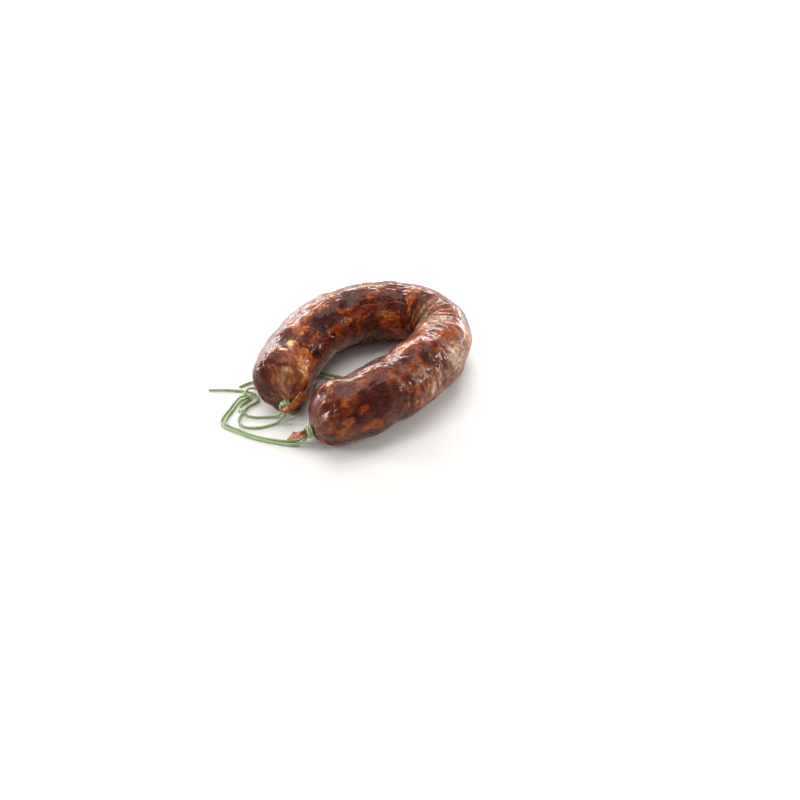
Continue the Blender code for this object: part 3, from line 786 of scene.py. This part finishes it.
# %% Build the skin
HOLLOW = 0.22
BLURS = 8
INSET = 0.02


def blurred(values, times):
    for _ in range(times):
        values = (values + np.roll(values, 1, 1) + np.roll(values, -1, 1)) / 3
        ends = np.concatenate([values[:1], values, values[-1:]])
        values = (ends[:-2] + ends[1:-1] + ends[2:]) / 3
    return values


hollow = np.clip((blurred(relief, BLURS) - relief) / HOLLOW, 0, 1)
skin_points = np.stack([ring_at(run, angles, out) for run, out in zip(runs, relief)])
skin_points = np.clip(skin_points.reshape(-1, 3), lowest + INSET, highest - INSET)
skin_points[:, 2] = np.maximum(skin_points[:, 2], 0.0)
skin = mesh_object(
    "casing_over_meat", skin_points, tube_faces(len(runs), AROUND),
    {"unrolled": unrolled.reshape(-1, 3), "fat": fat.ravel(), "stain": stain.ravel(),
     "film": film.ravel(), "hollow": hollow.ravel()},
)
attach(skin, "root")
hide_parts("sausage")
print("skin has", len(skin.data.polygons), "faces")

# %% [markdown]
# ## The flaps
# Past each tie the gathered casing has dried to a stiff flap, folded over on itself along one edge. It
# could be a plane with thickness. A flat tube does it better: its outline is thick along the rolled fold
# and thin elsewhere, with pleats that fade towards the tip.

# %% Shape the flaps
FLAP_FROM = 1.95
FLAP_AROUND = 48
FLAP_STEP = 0.25
FLAPS = {
    "a": ((0.52, -0.53, 0.67), (
        ((0.0, 0.0, 0.0), 3.6, 3.0), ((0.8, -1.2, 0.2), 3.6, 2.6), ((3.2, -1.0, 2.0), 4.0, 2.0),
        ((5.2, 2.4, 4.2), 4.8, 1.6), ((5.4, 7.6, 7.0), 5.8, 1.5), ((5.4, 12.9, 9.4), 7.4, 1.3),
    )),
    "b": ((0.20, -0.55, 0.81), (
        ((0.0, 0.0, 0.0), 3.6, 3.0), ((-0.5, -1.2, -0.2), 3.6, 2.6), ((-2.4, -2.8, -1.5), 4.2, 2.0),
        ((-5.4, -3.8, -3.5), 5.2, 1.6), ((-8.4, -4.2, -5.0), 6.4, 1.3),
    )),
}
OBLIQUE = 1.8
FLAP_PLEATS = 7
TAPER = 0.18
RAGGED_TIP = 0.5
CRUMPLE = 0.16
for which, (faces_way, sections) in FLAPS.items():
    start = neck_middle(which, FLAP_FROM)
    path = smooth([np.array(place) + start for place, _, _ in sections], FLAP_STEP)
    share = np.linspace(0, len(sections) - 1, len(path))
    widths = np.interp(share, range(len(sections)), [wide for _, wide, _ in sections]) / 2
    depths = np.interp(share, range(len(sections)), [deep for _, _, deep in sections]) / 2
    ways = np.gradient(path, axis=0)
    ways /= np.linalg.norm(ways, axis=1, keepdims=True)
    across = np.cross(ways, faces_way)
    across /= np.linalg.norm(across, axis=1, keepdims=True)
    through = np.cross(across, ways)
    flap_turn = np.arange(FLAP_AROUND)[None, :] * 2 * np.pi / FLAP_AROUND
    to_tip = np.linspace(0, 1, len(path))[:, None]
    fold = 0.42 + 0.58 * smooth_step(0.35, 0.85, -np.cos(flap_turn)) * to_tip
    depth = depths[:, None] * (fold * to_tip + 1 - to_tip)
    pleat = 1 + 0.12 * np.cos(FLAP_PLEATS * flap_turn + 1.3) * (1 - 0.6 * to_tip)
    wide = widths[:, None] * (1 - TAPER * to_tip) * (1 + 0.06 * noise(path, 2.0, 81)[:, None])
    # Each point of a ring lies across the path, through the flap and, as the cut is oblique, along it.
    points = path[:, None] + across[:, None] * (wide * np.cos(flap_turn))[..., None]
    points += through[:, None] * (depth * pleat * np.sin(flap_turn))[..., None]
    points -= ways[:, None] * (OBLIQUE * to_tip**2 * np.cos(flap_turn))[..., None]
    points += ways[:, None] * (RAGGED_TIP * noise(points, 1.6, 82) * to_tip**4)[..., None]
    points += through[:, None] * (CRUMPLE * noise(points, 1.5, 83))[..., None]
    points = np.clip(points.reshape(-1, 3), lowest + INSET, highest - INSET)
    rolled = (smooth_step(0.3, 0.9, -np.cos(flap_turn)) * np.ones_like(wide)).ravel()
    flap = mesh_object(
        "dry_flap_" + which, points, tube_faces(len(path), FLAP_AROUND),
        {"unrolled": points, "fat": 0.58 + 0.20 * rolled + 0.10 * noise(points, 2.2, 84),
         "stain": np.full(len(points), 0.7), "film": 0.28 + 0.15 * noise(points, 1.7, 85),
         "hollow": np.zeros(len(points))},
    )
    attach(flap, "root")
    print("flap", which, "is", round(length_of(path), 1), "mm long")

# %% [markdown]
# ## The ties
# Each neck is tied with two turns of the same twine, pulled tight, that end in a crossing underneath. The
# path is a helix round the neck, which rises over its own first turn where it crosses back.

# %% Wind the ties
TIE_RADIUS = NECK_RADIUS + 0.85 * TWINE / 2
TIE_TURNS = 2
TIE_FROM = 240.0
CROSSING = 60.0
CROSSING_RISE = 1.35
for which in ("a", "b"):
    _, _, _, way_out, outward, _ = end_frame(which)
    wound = np.arange(0, TIE_TURNS * 360 + CROSSING + 1, 6.0)
    crossing = np.clip((wound - TIE_TURNS * 360) / CROSSING, 0, 1)
    stepped = smooth_step(360 - CROSSING / 2, 360 + CROSSING / 2, wound) - smooth_step(0.1, 0.9, crossing)
    offset = TWINE * (stepped - 0.5)
    radius = TIE_RADIUS + CROSSING_RISE * np.sin(np.pi * crossing)
    turn = np.radians(wound + TIE_FROM)
    path = neck_middle(which, 1.5) + np.outer(offset, way_out) + np.outer(radius * np.cos(turn), outward)
    path += np.outer(radius * np.sin(turn), (0, 0, 1.0))
    tie, _ = twine_mesh("cotton_tie_" + which, smooth(path, TWINE_STEP))
    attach(tie, "root")
    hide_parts("tie_" + which)
    print("tie", which, "takes", round(length_of(path), 1), "mm of twine")

# %% [markdown]
# ## Material: natural casing over cured meat
# Hog casing, smoked and dried, is a thin brown-clear film, greasy to the touch. The eye sees through it to
# the meat and gets a broken, wet-looking shine from its wrinkles. Two colour ramps read the fat field,
# one for clean pieces and one for pieces stained by paprika, and the stain mixes them. The dry film lies
# over both. Light that comes back through an amber film is warm, and so is the specular tint. IOR is 1.45,
# the typical value. Roughness runs from 0.15, under grease, to 0.36, and the dry film is duller still. A
# thin coat of grease lies on top, with milder bumps of its own, and a little light scatters in the skin.

# %% Make the casing material
CLEAN = (
    (0.00, "2a1213"), (0.18, "381817"), (0.34, "492217"), (0.48, "5e3019"), (0.60, "75451f"),
    (0.74, "946630"), (0.87, "bb9558"), (1.00, "dac79e"),
)
STAINED = (
    (0.00, "280a08"), (0.18, "400f09"), (0.34, "5a1909"), (0.48, "7c2b0b"), (0.60, "923e10"),
    (0.74, "aa5618"), (0.87, "c38341"), (1.00, "dec28e"),
)
# Sizes in mm: the grain of the mince, clumps of it, streaks of the film, patches of grease, wrinkles and
# pores of the casing, then how high the last two and the grease over them stand.
GRAIN, CLUMP, STREAK, GREASE, WRINKLE, PORE = 1.3, 3.2, 2.2, 3.5, 1.8, 0.7
WRINKLE_HIGH, PORE_HIGH, GREASE_HIGH = 0.24, 0.10, 0.045
GRAIN_SHARE = 0.85
CLUMP_SHARE = 0.60
MILKINESS = 0.32
FILM_HIDES = 0.78
HOLLOW_SHADE_STRENGTH = 0.55
DRY_DULLS = 0.16

casing, tree, bsdf = new_material(
    "natural_hog_casing_smoked_and_dried", IOR=1.45, Specular_IOR_Level=0.16,
    Specular_Tint=linear("ffb98c"), Coat_Roughness=0.05, Coat_IOR=1.45,
    Subsurface_Weight=0.12, Subsurface_Radius=(1.0, 0.35, 0.15), Subsurface_Scale=0.0012,
)
fields = {}
for name in ("fat", "stain", "film", "hollow"):
    fields[name] = add(tree, "ShaderNodeAttribute", {"attribute_name": name}).outputs["Fac"]
where = add(tree, "ShaderNodeAttribute", {"attribute_name": "unrolled"}).outputs["Vector"]
drawn_out = add(tree, "ShaderNodeVectorMath", {"operation": "MULTIPLY", 1: (0.5, 1, 1)}, {0: where})

# The meat: fatness with its grain, read by the two ramps.
grain = add(tree, "ShaderNodeTexNoise", {"Scale": 1 / GRAIN, "Detail": 4.0, "Roughness": 0.65},
            {"Vector": drawn_out.outputs[0]})
coarse = add(tree, "ShaderNodeTexNoise", {"Scale": 1 / CLUMP, "Detail": 3.0, "Roughness": 0.6},
             {"Vector": drawn_out.outputs[0]})
level = add(tree, "ShaderNodeMath", {"operation": "MULTIPLY_ADD", 1: GRAIN_SHARE},
            {0: grain.outputs[0], 2: fields["fat"]})
level = add(tree, "ShaderNodeMath", {"operation": "MULTIPLY_ADD", 1: CLUMP_SHARE},
            {0: coarse.outputs[0], 2: level.outputs[0]})
level = add(tree, "ShaderNodeMath", {"operation": "SUBTRACT", 1: (GRAIN_SHARE + CLUMP_SHARE) / 2},
            {0: level.outputs[0]})
clean = add(tree, "ShaderNodeValToRGB", {"stops": CLEAN}, {"Fac": level.outputs[0]})
stained = add(tree, "ShaderNodeValToRGB", {"stops": STAINED}, {"Fac": level.outputs[0]})
meat = add(tree, "ShaderNodeMix", {"data_type": "RGBA"},
           {0: fields["stain"], 6: clean.outputs[0], 7: stained.outputs[0]})

# The film over it, and painted shade in its hollows.
streaks = add(tree, "ShaderNodeTexNoise", {"Scale": 1 / STREAK, "Detail": 3.0, "Roughness": 0.6},
              {"Vector": where})
milky = add(tree, "ShaderNodeMath", {"operation": "MULTIPLY_ADD", 1: MILKINESS},
            {0: fields["film"], 2: streaks.outputs[0]})
# The palest stop is near white, for milky film and for the painted highlight and backlight of the film.
dry = add(tree, "ShaderNodeValToRGB", {"stops": ((0.42, "5c3826"), (0.66, "8c6044"), (0.95, "d6bba4"))},
          {"Fac": milky.outputs[0]})
cover = add(tree, "ShaderNodeMath", {"operation": "MULTIPLY", 1: FILM_HIDES}, {0: fields["film"]})
seen = add(tree, "ShaderNodeMix", {"data_type": "RGBA"},
           {0: cover.outputs[0], 6: meat.outputs[2], 7: dry.outputs[0]})
shade = add(tree, "ShaderNodeMath", {"operation": "MULTIPLY", 1: HOLLOW_SHADE_STRENGTH}, {0: fields["hollow"]})
colour = add(tree, "ShaderNodeMix", {"data_type": "RGBA", "blend_type": "MULTIPLY", 7: linear("5a3a30")},
             {0: shade.outputs[0], 6: seen.outputs[2]})
tree.links.new(colour.outputs[2], bsdf.inputs["Base Color"])

# The shine: patches of grease, less of it where the film is dry.
patchy = add(tree, "ShaderNodeTexNoise", {"Scale": 1 / GREASE, "Detail": 3.0, "Roughness": 0.6},
             {"Vector": where})
gloss = add(tree, "ShaderNodeMapRange", {"From Min": 0.3, "From Max": 0.7, "To Min": 0.15, "To Max": 0.36},
            {"Value": patchy.outputs[0]})
duller = add(tree, "ShaderNodeMath", {"operation": "MULTIPLY_ADD", 1: DRY_DULLS},
             {0: fields["film"], 2: gloss.outputs[0]})
tree.links.new(duller.outputs[0], bsdf.inputs["Roughness"])
greasy = add(tree, "ShaderNodeMapRange", {"To Min": 0.34, "To Max": 0.10}, {"Value": fields["film"]})
tree.links.new(greasy.outputs[0], bsdf.inputs["Coat Weight"])

# The bumps: wrinkles, pores in them, and the grease that fills them.
fine = add(tree, "ShaderNodeTexNoise", {"Scale": 1 / WRINKLE, "Detail": 5.0, "Roughness": 0.62},
           {"Vector": drawn_out.outputs[0]})
wrinkled = add(tree, "ShaderNodeBump", {"Strength": 1.0, "Distance": WRINKLE_HIGH * MM},
               {"Height": fine.outputs[0]})
pores = add(tree, "ShaderNodeTexNoise", {"Scale": 1 / PORE, "Detail": 2.0, "Roughness": 0.5},
            {"Vector": where})
bump = add(tree, "ShaderNodeBump", {"Strength": 0.8, "Distance": PORE_HIGH * MM},
           {"Height": pores.outputs[0], "Normal": wrinkled.outputs[0]})
tree.links.new(bump.outputs[0], bsdf.inputs["Normal"])
filled = add(tree, "ShaderNodeBump", {"Strength": 1.0, "Distance": GREASE_HIGH * MM},
             {"Height": fine.outputs[0]})
tree.links.new(filled.outputs[0], bsdf.inputs["Coat Normal"])
for name in ("casing_over_meat", "dry_flap_a", "dry_flap_b"):
    bpy.data.objects[name].data.materials.append(casing)
print("casing material has", len(tree.nodes), "nodes")

# %% [markdown]
# ## Material: spun cotton
# Dyed cotton twine is matt, with a slight sheen from the fibres that stand out of it. Its colour is darker
# in the grooves between the plies, painted shade, and paler on the crests and the loose fibres. Its fibres
# are far finer than a pixel, so their bump is drawn as coarse as 0.25 mm to show at all.

# %% Make the twine material
COTTON_FIBRE = 0.25
DYE_PATCH = 6.0
LINT_HIGH = 0.12
cotton, tree, bsdf = new_material(
    "spun_cotton_twine_dyed_green", IOR=1.5, Roughness=0.9, Sheen_Weight=0.35, Sheen_Roughness=0.5,
)
ply = add(tree, "ShaderNodeAttribute", {"attribute_name": "ply"}).outputs["Fac"]
places_of = add(tree, "ShaderNodeTexCoord").outputs["Object"]
dye = add(tree, "ShaderNodeTexNoise", {"Scale": 1 / (DYE_PATCH * MM), "Detail": 3.0}, {"Vector": places_of})
lint = add(tree, "ShaderNodeTexNoise", {"Scale": 1 / (COTTON_FIBRE * MM), "Detail": 2.0},
           {"Vector": places_of})
# Darker in the grooves between the plies, paler on the crests and loose fibres: painted shade.
depth = add(tree, "ShaderNodeMath", {"operation": "MULTIPLY_ADD", 1: 0.35}, {0: lint.outputs[0], 2: ply})
green = add(tree, "ShaderNodeValToRGB", {"stops": (
    (0.20, "3f4d29"), (0.55, "718a57"), (0.85, "a3ba88"), (1.0, "bccfa2"))}, {"Fac": depth.outputs[0]})
faded = add(tree, "ShaderNodeValToRGB", {"stops": ((0.36, "b3a078"), (0.55, "ffffff"))},
            {"Fac": dye.outputs[0]})
colour = add(tree, "ShaderNodeMix", {"data_type": "RGBA", "blend_type": "MULTIPLY", 0: 0.4},
             {6: green.outputs[0], 7: faded.outputs[0]})
tree.links.new(colour.outputs[2], bsdf.inputs["Base Color"])
bump = add(tree, "ShaderNodeBump", {"Strength": 0.6, "Distance": LINT_HIGH * MM},
           {"Height": lint.outputs[0]})
tree.links.new(bump.outputs[0], bsdf.inputs["Normal"])
for piece in bpy.data.objects:
    if piece.name.startswith("cotton_"):
        piece.data.materials.append(cotton)
print("cotton material has", len(tree.nodes), "nodes")

# %% [markdown]
# ## Table and light
# A glossy skin is only as good as what it reflects. Wide soft boxes close by would lay a grey veil over
# the dark meat. So the shine comes from sources that look small: a low panel behind, mirrored by the upper
# edges, a strip near the floor at each side, mirrored by the outer edges, and small lamps left and right
# for sharp glints. A wide box high above whitens the floor inside the horseshoe. The world is dim, and a
# little brighter behind. The floor is plain.

# %% Lay the floor
FLOOR_HALF = 3000.0
corners = ((-1, -1), (1, -1), (1, 1), (-1, 1))
floor = mesh_object("floor", [(x * FLOOR_HALF, y * FLOOR_HALF, 0.0) for x, y in corners], [(0, 1, 2, 3)])
table_top, tree, bsdf = new_material("matt_white_lacquer", Roughness=0.6, Base_Color=linear("eceae7"))
floor.data.materials.append(table_top)
floor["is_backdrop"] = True
print("floor is", 2 * FLOOR_HALF / 1000, "m square")

# %% Hang the lights
UP = np.array([0.0, 0.0, 1.0])
# How far back, to the right and up each hangs, its two sizes (mm) and its power (W).
LIGHTS = {
    "panel_behind": (820.0, -150.0, 340.0, 1000.0, 130.0, 9.0),
    "strip_left": (640.0, -560.0, 75.0, 700.0, 140.0, 3.0),
    "lamp_above": (300.0, 0.0, 1100.0, 800.0, 800.0, 7.0),
    "lamp_left": (-300.0, -700.0, 600.0, 160.0, 160.0, 1.6),
    "lamp_low_left": (60.0, -700.0, 150.0, 120.0, 240.0, 3.0),
    "strip_right": (580.0, 640.0, 65.0, 700.0, 120.0, 5.0),
    "lamp_right": (-60.0, 900.0, 420.0, 240.0, 200.0, 4.0),
}
for name, (back, right, up, size_x, size_y, watts) in LIGHTS.items():
    lamp = bpy.data.lights.new(name, "AREA")
    lamp.shape = "RECTANGLE"
    lamp.size, lamp.size_y, lamp.energy = size_x * MM, size_y * MM, watts
    hung = bpy.data.objects.new(name, lamp)
    bpy.context.scene.collection.objects.link(hung)
    place = AIM + away * back + to_right * right + UP * up
    hung.location = Vector(place * MM)
    hung.rotation_euler = Vector(AIM - place).to_track_quat("-Z", "Y").to_euler()
world = bpy.data.worlds.new("studio")
world.use_nodes = True
tree = world.node_tree
direction = add(tree, "ShaderNodeTexCoord").outputs["Generated"]
backness = add(tree, "ShaderNodeVectorMath", {"operation": "DOT_PRODUCT", 1: tuple(away)}, {0: direction})
surround = add(tree, "ShaderNodeMapRange",
               {"From Min": -0.6, "From Max": 0.8, "To Min": 0.36, "To Max": 0.46},
               {"Value": backness.outputs["Value"]})
tree.links.new(surround.outputs[0], tree.nodes["Background"].inputs["Strength"])
tree.nodes["Background"].inputs["Color"].default_value = linear("fffdfa")
bpy.context.scene.world = world
bpy.context.scene.view_settings.view_transform = "Standard"
print(len(LIGHTS), "lights")

# %% [markdown]
# ## The sizes
# The dressed model must stay inside the imported one. Both boxes are printed.

# %% Print the sizes
shown_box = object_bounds()
for name, (low, high) in (("cad", cad_box), ("shown", shown_box)):
    print(name, "box", [round(v / MM, 2) for v in low], [round(v / MM, 2) for v in high])
